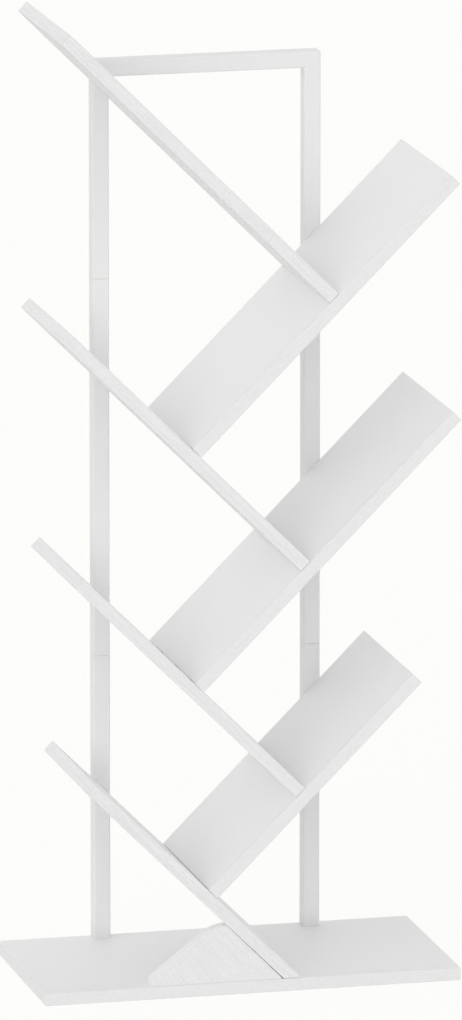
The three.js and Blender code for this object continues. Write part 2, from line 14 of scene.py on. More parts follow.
import bpy
import numpy as np
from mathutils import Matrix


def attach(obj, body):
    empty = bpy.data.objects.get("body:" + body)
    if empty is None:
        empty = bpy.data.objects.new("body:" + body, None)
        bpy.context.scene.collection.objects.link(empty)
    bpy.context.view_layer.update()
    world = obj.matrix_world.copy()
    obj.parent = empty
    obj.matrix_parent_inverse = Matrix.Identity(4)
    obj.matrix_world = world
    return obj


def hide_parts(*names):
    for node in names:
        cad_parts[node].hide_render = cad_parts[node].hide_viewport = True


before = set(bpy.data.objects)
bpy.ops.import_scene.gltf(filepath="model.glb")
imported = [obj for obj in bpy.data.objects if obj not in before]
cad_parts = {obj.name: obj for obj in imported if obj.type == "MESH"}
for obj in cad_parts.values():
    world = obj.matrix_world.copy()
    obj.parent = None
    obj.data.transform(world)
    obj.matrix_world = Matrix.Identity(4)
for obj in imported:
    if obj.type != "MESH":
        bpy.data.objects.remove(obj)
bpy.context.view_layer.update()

MM = 0.001
FULL_TURN = 2.0 * math.pi
BODY = "root"
LOG = logging.getLogger("bookshelf")

Colour = tuple[float, float, float]
Triple = tuple[float, float, float]


class Slot(Enum):
    """The record's material slot for zinc-plated steel, which nothing in this script uses."""

    ZINC = "zinc_steel"


class Lean(Enum):
    """Which way a board's grain runs, in degrees from +X towards +Z."""

    FLAT = 0.0
    RISES_RIGHT = 45.0
    RISES_LEFT = -45.0
    STEEP_LEFT = -53.0

    @property
    def angle(self) -> float:
        """The lean in radians."""
        return math.radians(self.value)


class Head(Enum):
    """How a screw's head is formed."""

    PAN = "pan"
    COUNTERSUNK = "countersunk"


@dataclass(frozen=True)
class Pattern:
    """A noise: its cells per metre along each axis, its finer layers, and how strong each of them is."""

    cells: Triple
    layers: float
    strength: float

    @staticmethod
    def even(cells: float, layers: float, strength: float) -> "Pattern":
        """The pattern with the same cells along every axis."""
        return Pattern((cells, cells, cells), layers, strength)


@dataclass(frozen=True)
class Streaks:
    """A noise drawn out along the fibres: its cells per metre across them and along them."""

    across: float
    along: float
    layers: float
    strength: float

    def pattern(self, axis: int) -> Pattern:
        """The pattern whose fibres follow an axis: 0 for X, 1 for Y, 2 for Z."""
        cells = tuple(self.along if place == axis else self.across for place in range(3))
        return Pattern(cells, self.layers, self.strength)


class Shader:
    """Builds one node tree, for a material or the world."""

    def __init__(self, tree: bpy.types.NodeTree) -> None:
        """Starts from an empty tree.

        Args:
            tree: The node tree to fill.
        """
        self.tree = tree
        tree.nodes.clear()

    def node(self, kind: str, settings: dict[str, Any] | None = None,
             inputs: dict[str, Any] | None = None) -> "Made":
        """Adds one node.

        Args:
            kind: The node's type, without its ShaderNode prefix.
            settings: The node's own settings, set before its sockets are filled.
            inputs: Socket identifier or name to a value, a Value or a socket.

        Returns:
            The node, whose outputs are read by name.
        """
        made = self.tree.nodes.new("ShaderNode" + kind)
        for name, setting in (settings or {}).items():
            setattr(made, name, setting)
        for name, given in (inputs or {}).items():
            self.fill(pick(made.inputs, name), given)
        return Made(self, made)

    def fill(self, socket: bpy.types.NodeSocket, given: Any) -> None:
        """Links or sets one input socket.

        Args:
            socket: The input.
            given: A Value or socket to link, or a plain number, vector or colour.
        """
        if isinstance(given, Value):
            self.tree.links.new(given.socket, socket)
        elif isinstance(given, bpy.types.NodeSocket):
            self.tree.links.new(given, socket)
        elif socket.type == "RGBA" and len(given) == 3:
            socket.default_value = (*given, 1.0)
        else:
            socket.default_value = given

    def math(self, operation: str, *numbers: "Value | float") -> "Value":
        """Adds one Math node.

        Args:
            operation: What it works out.
            numbers: The Values and plain numbers that it works on, in order.

        Returns:
            The result.
        """
        made = self.tree.nodes.new("ShaderNodeMath")
        made.operation = operation
        for socket, number in zip(made.inputs, numbers):
            self.fill(socket, number)
        return Value(self, made.outputs[0])

    def mix(self, first: Colour | bpy.types.NodeSocket, second: Colour,
            share: "Value") -> bpy.types.NodeSocket:
        """Mixes two colours.

        Args:
            first: The colour where share is 0.
            second: The colour where share is 1.
            share: How much of the second colour shows.

        Returns:
            The mixed colour.
        """
        made = self.node("Mix", {"data_type": "RGBA"},
                         {"Factor_Float": share, "A_Color": first, "B_Color": second})
        return made.socket("Result_Color")

    def stretch(self, places: bpy.types.NodeSocket, scale: Triple, shift: Triple) -> bpy.types.NodeSocket:
        """Works out the coordinates of a stretched pattern: places times scale plus shift.

        Args:
            places: The coordinates, in metres.
            scale: Cells per metre along each axis.
            shift: Where in the pattern this piece lies.

        Returns:
            The pattern's own coordinates.
        """
        made = self.node("VectorMath", {"operation": "MULTIPLY_ADD"},
                         {"Vector": places, "Vector_001": scale, "Vector_002": shift})
        return made.socket("Vector")

    def noise(self, places: bpy.types.NodeSocket, pattern: Pattern,
              shift: Triple = (0.0, 0.0, 0.0)) -> "Value":
        """Noise from 0 to 1 on stretched places.

        Args:
            places: The coordinates, in metres.
            pattern: The noise.
            shift: Where in the pattern this piece lies.

        Returns:
            The noise.
        """
        made = self.node("TexNoise", {"noise_dimensions": "3D"}, {
            "Vector": self.stretch(places, pattern.cells, shift), "Scale": 1.0,
            "Detail": pattern.layers, "Roughness": pattern.strength})
        return made["Fac"]

    def step(self, number: "Value", low: float, high: float) -> "Value":
        """A smooth step.

        Args:
            number: What the step follows.
            low: Where it leaves 0.
            high: Where it reaches 1.

        Returns:
            The step, from 0 to 1.
        """
        made = self.node("MapRange", {"interpolation_type": "SMOOTHSTEP", "clamp": True}, {
            "Value": number, "From Min": low, "From Max": high, "To Min": 0.0, "To Max": 1.0})
        return made["Result"]

    def bump(self, height: "Value", distance: float, strength: float = 1.0) -> bpy.types.NodeSocket:
        """A normal from a height between 0 and 1.

        Args:
            height: The relief.
            distance: How far the relief stands at a height of 1, in metres.
            strength: How much of it shows.

        Returns:
            The normal.
        """
        made = self.node("Bump", {}, {"Height": height, "Distance": distance, "Strength": strength})
        return made.socket("Normal")


class Value:
    """A number that varies over a surface. Its operators add Math nodes."""

    def __init__(self, shader: Shader, socket: bpy.types.NodeSocket) -> None:
        """Wraps an output socket of a shader's tree."""
        self.shader = shader
        self.socket = socket

    def __add__(self, other: "Value | float") -> "Value":
        """This plus other."""
        return self.shader.math("ADD", self, other)

    def __radd__(self, other: "Value | float") -> "Value":
        """Other plus this."""
        return self.shader.math("ADD", other, self)

    def __sub__(self, other: "Value | float") -> "Value":
        """This less other."""
        return self.shader.math("SUBTRACT", self, other)

    def __rsub__(self, other: "Value | float") -> "Value":
        """Other less this."""
        return self.shader.math("SUBTRACT", other, self)

    def __mul__(self, other: "Value | float") -> "Value":
        """This times other."""
        return self.shader.math("MULTIPLY", self, other)

    def __rmul__(self, other: "Value | float") -> "Value":
        """Other times this."""
        return self.shader.math("MULTIPLY", other, self)

    def __abs__(self) -> "Value":
        """This without its sign."""
        return self.shader.math("ABSOLUTE", self)

    def power(self, other: float) -> "Value":
        """This raised to a power."""
        return self.shader.math("POWER", self, other)

    def least(self, other: "Value | float") -> "Value":
        """The smaller of this and other."""
        return self.shader.math("MINIMUM", self, other)

    def most(self, other: "Value | float") -> "Value":
        """The larger of this and other."""
        return self.shader.math("MAXIMUM", self, other)


class Made:
    """A node just added, whose outputs are read by name."""

    def __init__(self, shader: Shader, node: bpy.types.Node) -> None:
        """Keeps the node and the shader that it is in."""
        self.shader = shader
        self.node = node

    def __getitem__(self, name: str) -> Value:
        """The named output, as a number."""
        return Value(self.shader, self.socket(name))

    def socket(self, name: str) -> bpy.types.NodeSocket:
        """The named output, as a colour, vector or shader."""
        return pick(self.node.outputs, name)


def pick(sockets: bpy.types.bpy_prop_collection, name: str) -> bpy.types.NodeSocket:
    """Finds a socket by its identifier, or else by its name.

    Args:
        sockets: A node's inputs or outputs.
        name: The identifier or the name.

    Returns:
        The socket.
    """
    for socket in sockets:
        if socket.identifier == name:
            return socket
    return sockets[name]


def new_material(name: str) -> tuple[bpy.types.Material, Shader]:
    """Makes a material with an empty tree.

    Args:
        name: The material's name.

    Returns:
        The material, and the shader that fills its tree.
    """
    material = bpy.data.materials.new(name)
    material.use_nodes = True
    return material, Shader(material.node_tree)


def close_surface(shader: Shader, surface: dict[str, Any]) -> None:
    """Ends a material's tree in one Principled surface.

    Args:
        shader: The material's shader.
        surface: The Principled node's sockets and what fills them.
    """
    body = shader.node("BsdfPrincipled", {}, surface)
    shader.node("OutputMaterial", {}, {"Surface": body.socket("BSDF")})


@dataclass(frozen=True)
class Extent:
    """How far a board reaches along its length, depth and thickness, in its own turned axes."""

    start: float
    end: float
    front: float
    back: float
    under: float
    top: float


@dataclass(frozen=True)
class Flank:
    """A straight part of a panel's outline: the direction that it faces and how far out it lies."""

    facing: Triple
    reach: float


@dataclass(frozen=True)
class Edges:
    """Where a place lies on a board: how far behind its outline, and how far from its rounded edges.

    Crosswise is 1 where the grain of the nearest band runs across the board's own.
    """

    inward: Value
    from_edge: Value
    crosswise: Value | float


@dataclass(frozen=True)
class MelamineBoard:
    """White melamine with a lengthwise grain, and a thin band glued on along its edges.

    The grain is noise drawn out along the board. It is faint on the faces and clear on the bands,
    the glue line between them is a hairline, and the rounded edges are greyer: a little wear, and
    painted shade that tones down the extra light that their rounding catches.
    """

    name: str
    lean: Lean
    extent: Extent
    shift: Triple
    face_grain: float = 0.095
    band_grain: float = 0.31
    face_shade: float = 0.13
    band_shade: float = 0.29
    usual_grain: float = 0.40
    fibres: Streaks = Streaks(600.0, 16.0, 3.0, 0.62)
    pores: Streaks = Streaks(680.0, 200.0, 2.0, 0.6)
    clouds: Streaks = Streaks(26.0, 4.0, 1.0, 0.5)
    dark_from: float = 0.40
    dark_to: float = 0.62
    vein_share: float = 0.15
    cloud_share: float = 0.10
    cross_axis: int = 1
    pale: Colour = (0.925, 0.925, 0.924)
    grey: Colour = (0.800, 0.800, 0.798)
    glue: Colour = (0.60, 0.595, 0.58)
    # the greyer colour of the rounded edges: partly wear, partly painted shade against the light they
    # catch
    worn_and_shaded: Colour = (0.835, 0.834, 0.831)
    band_thickness: float = 0.8 * MM
    band_fade: float = 0.9
    glue_width: float = 0.12 * MM
    glue_core: float = 0.3
    glue_shown: float = 0.35
    glue_sunk: float = 0.5
    edge_radius: float = 1.0 * MM
    wear_and_shade_core: float = 0.2
    peel: Pattern = Pattern.even(310.0, 1.0, 0.5)
    peel_relief: float = 0.10
    relief: float = 0.05 * MM
    least_rough: float = 0.44
    grain_rough: float = 0.10
    peel_rough: float = 0.08
    gloss: float = 0.42

    def edges(self, shader: Shader, objects: bpy.types.NodeSocket, turned: bpy.types.NodeSocket) -> Edges:
        """Finds the edges of a board that is a box in its own turned axes.

        Args:
            shader: The material's shader.
            objects: The places on the board. Not used here.
            turned: The same places in the board's own axes.

        Returns:
            The edges. The grain of the bands at its ends runs crosswise.
        """
        parts = shader.node("SeparateXYZ", {}, {"Vector": turned})
        from_ends = (parts["X"] - self.extent.start).least(self.extent.end - parts["X"])
        from_sides = (parts["Y"] - self.extent.front).least(self.extent.back - parts["Y"])
        from_skins = (parts["Z"] - self.extent.under).least(self.extent.top - parts["Z"])
        inward = from_ends.least(from_sides)
        from_edge = inward.most(from_ends.most(from_sides).least(from_skins))
        return Edges(inward, from_edge, shader.math("LESS_THAN", from_ends, from_sides))

    def grain(self, shader: Shader, places: bpy.types.NodeSocket, along: int) -> Value:
        """Long veins and short flecks, both drawn out along one axis.

        Args:
            shader: The material's shader.
            places: The board's own coordinates.
            along: The axis that the fibres follow: 0 for the length, 1 for the depth, 2 for the thickness.

        Returns:
            The grain, from 0, pale, to 1, dark.
        """
        fibres = shader.noise(places, self.fibres.pattern(along), self.shift)
        pores = shader.noise(places, self.pores.pattern(along), self.shift)
        clouds = shader.noise(places, self.clouds.pattern(along), self.shift)
        veins = shader.step(fibres, self.dark_from, self.dark_to)
        flecks = shader.step(pores, self.dark_from, self.dark_to)
        fleck_share = 1.0 - self.cloud_share - self.vein_share
        return veins * self.vein_share + flecks * fleck_share + clouds * self.cloud_share

    def material(self) -> bpy.types.Material:
        """Makes the finish.

        Returns:
            The material.
        """
        material, shader = new_material(self.name)
        objects = shader.node("TexCoord").socket("Object")
        turned = shader.node("Mapping", {"vector_type": "POINT"}, {
            "Vector": objects, "Rotation": (0.0, self.lean.angle, 0.0)}).socket("Vector")
        edges = self.edges(shader, objects, turned)
        # wear and painted shade: the rounded edges turn greyer to tone down their extra light
        wear_and_shade = 1.0 - shader.step(edges.from_edge, self.wear_and_shade_core * self.edge_radius, self.edge_radius)
        band = 1.0 - shader.step(edges.inward, self.band_fade * self.band_thickness, self.band_thickness)
        off_glue = abs(edges.inward - self.band_thickness)
        glue = 1.0 - shader.step(off_glue, self.glue_core * self.glue_width, self.glue_width)
        across = edges.crosswise * band
        lengthwise = self.grain(shader, turned, 0)
        crosswise = self.grain(shader, turned, self.cross_axis)
        grain = lengthwise * (1.0 - across) + crosswise * across
        contrast = band * (self.band_grain - self.face_grain) + self.face_grain
        shade = band * (self.band_shade - self.face_shade) + self.face_shade
        shown = (grain - self.usual_grain) * contrast + shade
        colour = shader.mix(self.pale, self.grey, shown)
        colour = shader.mix(colour, self.glue, glue * self.glue_shown)
        colour = shader.mix(colour, self.worn_and_shaded, wear_and_shade)
        peel = shader.noise(turned, self.peel, self.shift)
        height = 1.0 - shown - glue * self.glue_sunk + peel * self.peel_relief
        close_surface(shader, {
            "Base Color": colour,
            "Roughness": grain * self.grain_rough + peel * self.peel_rough + self.least_rough,
            "Specular IOR Level": self.gloss,
            "Normal": shader.bump(height, self.relief),
        })
        return material


@dataclass(frozen=True)
class GussetPanel(MelamineBoard):
    """The same melamine on the gusset: strong grain on its faces, and plain bands round its outline, kept
    nearly pale as painted light for its sloping top.
    """

    flanks: tuple[Flank, ...] = ()
    face_grain: float = 0.72
    vein_share: float = 0.50
    face_shade: float = 0.27
    band_grain: float = 0.20
    # painted light: the bands stay nearly pale, so that the sloping top, which gets less light, looks as
    # bright as the front
    band_shade: float = 0.05
    # the gusset's rounded edges stay nearly pale: less of the painted edge shade
    worn_and_shaded: Colour = (0.880, 0.879, 0.877)
    cross_axis: int = 2

    def edges(self, shader: Shader, objects: bpy.types.NodeSocket, turned: bpy.types.NodeSocket) -> Edges:
        """Finds the edges of a panel with a bulging outline.

        A place lies behind the outline by the least of its distances to the lines of all flanks.

        Args:
            shader: The material's shader.
            objects: The places on the panel.
            turned: The same places in the panel's own axes.

        Returns:
            The edges. The grain of every band runs crosswise.
        """
        depth = shader.node("SeparateXYZ", {}, {"Vector": turned})["Y"]
        from_faces = (depth - self.extent.front).least(self.extent.back - depth)
        inward: Value | None = None
        for flank in self.flanks:
            outward = shader.node("VectorMath", {"operation": "DOT_PRODUCT"},
                                  {"Vector": objects, "Vector_001": flank.facing})["Value"]
            behind = flank.reach - outward
            inward = behind if inward is None else inward.least(behind)
        return Edges(inward, inward.most(from_faces), 1.0)


@dataclass(frozen=True)
class PowderCoat:
    """White powder coat on steel tube: a semi-matt skin with a fine peel and a few specks.

    Painted shade darkens it a little above its foot, the height at which it stands on the base, in place
    of the shade that gathers there.
    """

    foot: float
    name: str = "white_powder_coat"
    pale: Colour = (0.885, 0.885, 0.884)
    grey: Colour = (0.855, 0.855, 0.854)
    # painted shade: the darker colour of the tube towards its foot
    painted_foot_shade: Colour = (0.798, 0.796, 0.791)
    # painted shadow: a dark hairline on the tube where it meets the base
    painted_seam_shadow: Colour = (0.58, 0.575, 0.565)
    foot_shade_height: float = 32.0 * MM
    foot_shade_falloff: float = 2.0
    seam_shadow_height: float = 0.45 * MM
    seam_shadow_core: float = 0.5
    peel: Pattern = Pattern.even(760.0, 2.0, 0.55)
    grit: Pattern = Pattern.even(2400.0, 0.0, 0.5)
    clouds: Pattern = Pattern.even(38.0, 2.0, 0.5)
    speck_from: float = 0.72
    speck_to: float = 0.80
    cloud_shade: float = 0.7
    speck_shade: float = 0.5
    speck_relief: float = 0.4
    relief: float = 0.035 * MM
    least_rough: float = 0.36
    peel_rough: float = 0.10
    cloud_rough: float = 0.08
    gloss: float = 0.5

    def material(self) -> bpy.types.Material:
        """Makes the finish.

        Returns:
            The material.
        """
        material, shader = new_material(self.name)
        places = shader.node("TexCoord").socket("Object")
        peel = shader.noise(places, self.peel)
        clouds = shader.noise(places, self.clouds)
        specks = shader.step(shader.noise(places, self.grit), self.speck_from, self.speck_to)
        above = shader.node("SeparateXYZ", {}, {"Vector": places})["Z"] - self.foot
        # painted shade: darker towards the foot, fading out over foot_shade_height
        foot_shade_share = (1.0 - shader.step(above, 0.0, self.foot_shade_height)).power(self.foot_shade_falloff)
        # painted shadow: the dark hairline just above the foot
        seam_shadow_share = 1.0 - shader.step(above, self.seam_shadow_core * self.seam_shadow_height, self.seam_shadow_height)
        shade = (clouds * self.cloud_shade + specks * self.speck_shade).least(1.0)
        colour = shader.mix(shader.mix(self.pale, self.grey, shade), self.painted_foot_shade, foot_shade_share)
        close_surface(shader, {
            "Base Color": shader.mix(colour, self.painted_seam_shadow, seam_shadow_share),
            "Roughness": peel * self.peel_rough + clouds * self.cloud_rough + self.least_rough,
            "Specular IOR Level": self.gloss,
            "Normal": shader.bump(peel + specks * self.speck_relief, self.relief),
        })
        return material


@dataclass(frozen=True)
class ZincPlate:
    """Bright zinc plate: grey metal with turning marks worn into a cloudy sheen."""

    name: str = "bright_zinc"
    bright: Colour = (0.62, 0.63, 0.645)
    dull: Colour = (0.40, 0.41, 0.42)
    spangle: Pattern = Pattern.even(520.0, 2.0, 0.6)
    dull_from: float = 0.30
    dull_to: float = 0.72
    scratches: Pattern = Pattern((3200.0, 260.0, 900.0), 1.0, 0.5)
    relief: float = 0.02 * MM
    least_rough: float = 0.22
    spangle_rough: float = 0.16
    scratch_rough: float = 0.12

    def material(self) -> bpy.types.Material:
        """Makes the finish.

        Returns:
            The material.
        """
        material, shader = new_material(self.name)
        places = shader.node("TexCoord").socket("Object")
        spangle = shader.noise(places, self.spangle)
        scratches = shader.noise(places, self.scratches)
        shade = shader.step(spangle, self.dull_from, self.dull_to)
        close_surface(shader, {
            "Base Color": shader.mix(self.bright, self.dull, shade),
            "Metallic": 1.0,
            "Roughness": spangle * self.spangle_rough + scratches * self.scratch_rough + self.least_rough,
            "Normal": shader.bump(scratches, self.relief),
        })
        return material


@dataclass(frozen=True)
class BareBeech:
    """Bare beech for the dowels: warm wood with short dark flecks."""

    name: str = "bare_beech"
    pale: Colour = (0.66, 0.47, 0.26)
    dark: Colour = (0.47, 0.30, 0.15)
    fibres: Pattern = Pattern.even(900.0, 3.0, 0.6)
    flecks: Pattern = Pattern((420.0, 1300.0, 420.0), 1.0, 0.5)
    fleck_from: float = 0.58
    fleck_to: float = 0.70
    fibre_shade: float = 0.6
    fleck_shade: float = 0.4
    relief: float = 0.05 * MM
    least_rough: float = 0.55
    fibre_rough: float = 0.15

    def material(self) -> bpy.types.Material:
        """Makes the finish.

        Returns:
            The material.
        """
        material, shader = new_material(self.name)
        places = shader.node("TexCoord").socket("Object")
        fibres = shader.noise(places, self.fibres)
        flecks = shader.step(shader.noise(places, self.flecks), self.fleck_from, self.fleck_to)
        shade = (fibres * self.fibre_shade + flecks * self.fleck_shade).least(1.0)
        close_surface(shader, {
            "Base Color": shader.mix(self.pale, self.dark, shade),
            "Roughness": fibres * self.fibre_rough + self.least_rough,
            "Normal": shader.bump(shade, self.relief),
        })
        return material


def put_finish(node: str, material: bpy.types.Material) -> None:
    """Puts a finish on a CAD node, through its object's material slots."""
    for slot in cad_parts[node].material_slots:
        slot.material = material


def read_rows(items: bpy.types.bpy_prop_collection, name: str, wide: int) -> np.ndarray:
    """Reads one property of all of a mesh's points or faces.

    Args:
        items: The mesh's vertices or polygons.
        name: The property.
        wide: How many numbers it has.

    Returns:
        One row for each point or face.
    """
    numbers = np.empty(len(items) * wide, np.float32)
    items.foreach_get(name, numbers)
    return numbers.reshape(-1, wide).astype(float)


def own_points(node: str, digits: int = 7) -> np.ndarray:
    """A CAD node's different points in metres, rounded to so many digits."""
    return np.unique(np.round(read_rows(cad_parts[node].data.vertices, "co", 3), digits), axis=0)


def own_faces(node: str) -> tuple[np.ndarray, np.ndarray, np.ndarray]:
    """The normals, the centres in metres and the areas of a CAD node's faces."""
    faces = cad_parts[node].data.polygons
    return read_rows(faces, "normal", 3), read_rows(faces, "center", 3), read_rows(faces, "area", 1)[:, 0]


@dataclass
class Boards:
    """The base, the seven slanted shelves and the gusset, each a board with its own grain."""

    base: str = "base_board"
    gusset: str = "front_gusset"
    rising_left: tuple[str, ...] = ("left_shelf_1", "left_shelf_2", "left_shelf_3", "left_shelf_4")
    rising_right: tuple[str, ...] = ("right_shelf_1", "right_shelf_2", "right_shelf_3")
    strong_grain: float = 0.72
    strong_veins: float = 0.50
    least_flank: float = 30.0 * MM * MM
    flank_tilt: float = 0.01
    flank_slack: float = 0.02 * MM
    turn_digits: int = 4
    apart: Triple = (7.3, 3.1, 5.7)

    def extent(self, node: str, lean: Lean) -> Extent:
        """Measures how far a board reaches in its own turned axes.

        A place along the length is x times the lean's cosine plus z times its sine. A place across
        the thickness is z times the cosine less x times the sine.

        Args:
            node: The board's node.
            lean: Which way its length runs.

        Returns:
            The board's ends and sides.
        """
        points = own_points(node)
        along = points[:, 0] * math.cos(lean.angle) + points[:, 2] * math.sin(lean.angle)
        across = points[:, 2] * math.cos(lean.angle) - points[:, 0] * math.sin(lean.angle)
        depth = points[:, 1]
        return Extent(along.min(), along.max(), depth.min(), depth.max(), across.min(), across.max())

    def flanks(self, node: str) -> tuple[Flank, ...]:
        """Reads a panel's outline from the flat faces round it.

        Such a face looks neither to the front nor to the back, and no point of the panel lies beyond
        it. Its direction is the angle of its normal from +X towards +Z.

        Args:
            node: The panel's node.

        Returns:
            The outline's flanks, without those as small as its rounded corners.
        """
        points = own_points(node)
        normals, centres, areas = own_faces(node)
        reach = (points @ normals.T).max(axis=0)
        short_of_it = reach - (centres * normals).sum(axis=1)
        outside = (np.abs(normals[:, 1]) < self.flank_tilt) & (short_of_it < self.flank_slack)
        turn = np.arctan2(normals[outside, 2], normals[outside, 0])
        turn = np.round(np.mod(turn, FULL_TURN), self.turn_digits)
        turns, which = np.unique(turn, return_inverse=True)
        turns = turns[np.bincount(which.ravel(), areas[outside]) > self.least_flank]
        facing = np.stack([np.cos(turns), np.zeros_like(turns), np.sin(turns)], axis=1)
        reaches = (points @ facing.T).max(axis=0)
        return tuple(Flank(tuple(way), float(far)) for way, far in zip(facing.tolist(), reaches))

    def dress(self) -> None:
        """Gives every board its finish. The boards that rise to the left have the stronger grain."""
        leans = {self.base: Lean.FLAT, self.gusset: Lean.STEEP_LEFT}
        leans.update({node: Lean.RISES_LEFT for node in self.rising_left})
        leans.update({node: Lean.RISES_RIGHT for node in self.rising_right})
        for place, (node, lean) in enumerate(leans.items()):
            shift = tuple(place * step for step in self.apart)
            extent = self.extent(node, lean)
            board = MelamineBoard(node + "_melamine", lean, extent, shift)
            if lean is Lean.RISES_LEFT:
                board = replace(board, band_grain=self.strong_grain, vein_share=self.strong_veins)
            if node == self.gusset:
                board = GussetPanel(board.name, lean, extent, shift, flanks=self.flanks(node))
            put_finish(node, board.material())
            LOG.info("board %s dressed, %.0f mm long", node, (extent.end - extent.start) / MM)


@dataclass
class SteelFrame:
    """The welded top frame and the four straight posts below it, which stand on the base."""

    base: str = "base_board"
    tubes: tuple[str, ...] = ("top_frame", "left_middle_post", "right_middle_post",
                              "left_lower_post", "right_lower_post")

    def dress(self) -> None:
        """Gives every tube the same powder coat."""
        coat = PowderCoat(foot=float(own_points(self.base)[:, 2].max())).material()
        for node in self.tubes:
            put_finish(node, coat)
            LOG.info("tube %s dressed", node)


@dataclass(frozen=True)
class Axis:
    """The line of a screw: the outside of its head, its direction into the work, and its length."""

    top: np.ndarray
    inward: np.ndarray
    length: float

    @staticmethod
    def of(node: str) -> "Axis":
        """Finds the axis of a CAD screw.

        The direction is the one in which its points spread most, turned so that it leads from the
        end with the widest ring to the other.

        Args:
            node: The screw's node.

        Returns:
            The axis.
        """
        points = own_points(node)
        middle = points.mean(axis=0)
        inward = np.linalg.svd(points - middle)[2][0]
        along = (points - middle) @ inward
        off = np.linalg.norm(points - middle - np.outer(along, inward), axis=1)
        if along[off.argmax()] > 0:
            inward, along = -inward, -along
        return Axis(middle + inward * along.min(), inward, float(np.ptp(along)))


@dataclass(frozen=True)
class ScrewKind:
    """One kind of screw or bolt, with its sizes in metres.

    Shares of the head are of its own radius or height, and those of the point are of the shank's
    radius. The plain share is how much of the shank has no thread.
    """

    nodes: tuple[str, ...]
    head: Head
    head_radius: float
    head_height: float
    shank_radius: float
    pitch: float
    plain_share: float = 0.12
    sides: int = 36
    crown_rings: int = 7
    thread_rings: int = 4
    thread_depth: float = 0.16
    socket_share: float = 0.45
    socket_depth: float = 0.6
    floor_share: float = 0.5
    mouth_share: float = 1.12
    mouth_depth: float = 0.06
    crown_share: float = 0.62
    pan_rim: float = 0.45
    pan_side: float = 0.93
    pan_foot: float = 0.985
    countersunk_rim: float = 0.2
    bevel_share: float = 0.97
    bevel_depth: float = 0.05
    point_length: float = 1.1
    point_share: float = 0.35
    upright_from: float = 0.9

    def outline(self, length: float) -> tuple[np.ndarray, np.ndarray, np.ndarray, np.ndarray]:
        """The screw's outline from the middle of its socket, round its head and down to its point.

        A pan head's crown is a quarter of an ellipse. A countersunk head is a cone under a short rim.

        Args:
            length: From the outside of the head to the tip.

        Returns:
            For each ring its radius, its depth below the top of the head, how much of it is
            hexagonal, and how much of the thread it carries.
        """
        wide, high, shank = self.head_radius, self.head_height, self.shank_radius
        key, floor = wide * self.socket_share, high * self.socket_depth
        socket_radii = [key * self.floor_share, key, key]
        socket_depths = [floor, floor, key * self.mouth_depth]
        if self.head is Head.PAN:
            turn = np.linspace(0.0, math.pi / 2, self.crown_rings)
            crown, rim = wide * self.crown_share, high * (1.0 - self.pan_rim)
            head_radii = [*(crown + (wide - crown) * np.sin(turn)), wide, wide * self.pan_foot, shank]
            head_depths = [*(rim * (1.0 - np.cos(turn))), high * self.pan_side, high, high]
        else:
            head_radii = [wide * self.bevel_share, wide, wide, shank]
            head_depths = [0.0, high * self.bevel_depth, high * self.countersunk_rim, high]
        head_radii = [key * self.mouth_share, *head_radii]
        head_depths = [0.0, *head_depths]
        plain = high + (length - high) * self.plain_share
        taper = length - shank * self.point_length
        turns = max(int((taper - plain) / self.pitch), 1)
        thread = np.linspace(plain, taper, turns * self.thread_rings + 1)
        shank_radii = np.full(len(thread), shank)
        radii = np.array([*socket_radii, *head_radii, *shank_radii, shank * self.point_share])
        depths = np.array([*socket_depths, *head_depths, *thread, length])
        hexagonal = np.zeros(len(radii))
        hexagonal[:len(socket_radii)] = 1.0
        carried = np.zeros(len(radii))
        carried[-1 - len(thread):-1] = 1.0
        return radii, depths, hexagonal, carried

    def surface(self, axis: Axis) -> tuple[np.ndarray, list[tuple[int, ...]]]:
        """The screw's points and faces.

        A point is the top of the axis, plus the depth of its ring along the axis, plus its radius
        times a direction that turns round it. In the socket the radius is that of a hexagon: the
        width across its flats over the cosine of the angle to the nearest flat. In the thread it
        falls and rises once a turn, by how far the point lies between two crests of a helix.

        Args:
            axis: Where the screw lies.

        Returns:
            The points and the faces, which point outwards.
        """
        radii, depths, hexagonal, carried = self.outline(axis.length)
        half_flat = math.pi / 6.0
        turn = np.linspace(0.0, FULL_TURN, self.sides, endpoint=False)
        to_flat = np.mod(turn + half_flat, 2.0 * half_flat) - half_flat
        hexagon = math.cos(half_flat) / np.cos(to_flat)
        shape = 1.0 + hexagonal[:, None] * (hexagon[None, :] - 1.0)
        phase = np.mod(depths[:, None] / self.pitch - turn[None, :] / FULL_TURN, 1.0)
        cut = carried[:, None] * self.thread_depth * (1.0 - np.abs(2.0 * phase - 1.0))
        radius = radii[:, None] * shape * (1.0 - cut)
        upright = abs(axis.inward[2]) > self.upright_from
        side = np.cross(axis.inward, (1.0, 0.0, 0.0) if upright else (0.0, 0.0, 1.0))
        side /= np.linalg.norm(side)
        other = np.cross(axis.inward, side)
        round_it = np.cos(turn)[:, None] * side + np.sin(turn)[:, None] * other
        middles = axis.top + depths[:, None] * axis.inward
        rings = middles[:, None] + radius[:, :, None] * round_it
        points = np.concatenate([middles[:1], rings.reshape(-1, 3), middles[-1:]])
        return points, ring_faces(len(radii), self.sides)


def ring_faces(rings: int, sides: int) -> list[tuple[int, ...]]:
    """Joins rings of points into one closed skin, with a point at each end.

    Args:
        rings: How many rings, after the first point and before the last.
        sides: Points in a ring.

    Returns:
        The faces, as indices.
    """
    index = 1 + np.arange(rings * sides).reshape(rings, sides)
    after = np.roll(index, -1, axis=1)
    last = rings * sides + 1
    start = np.stack([np.zeros(sides, int), after[0], index[0]], axis=1)
    sheet = np.stack([index[:-1], after[:-1], after[1:], index[1:]], axis=-1).reshape(-1, 4)
    end = np.stack([np.full(sides, last), index[-1], after[-1]], axis=1)
    return [tuple(face) for group in (start, sheet, end) for face in group.tolist()]


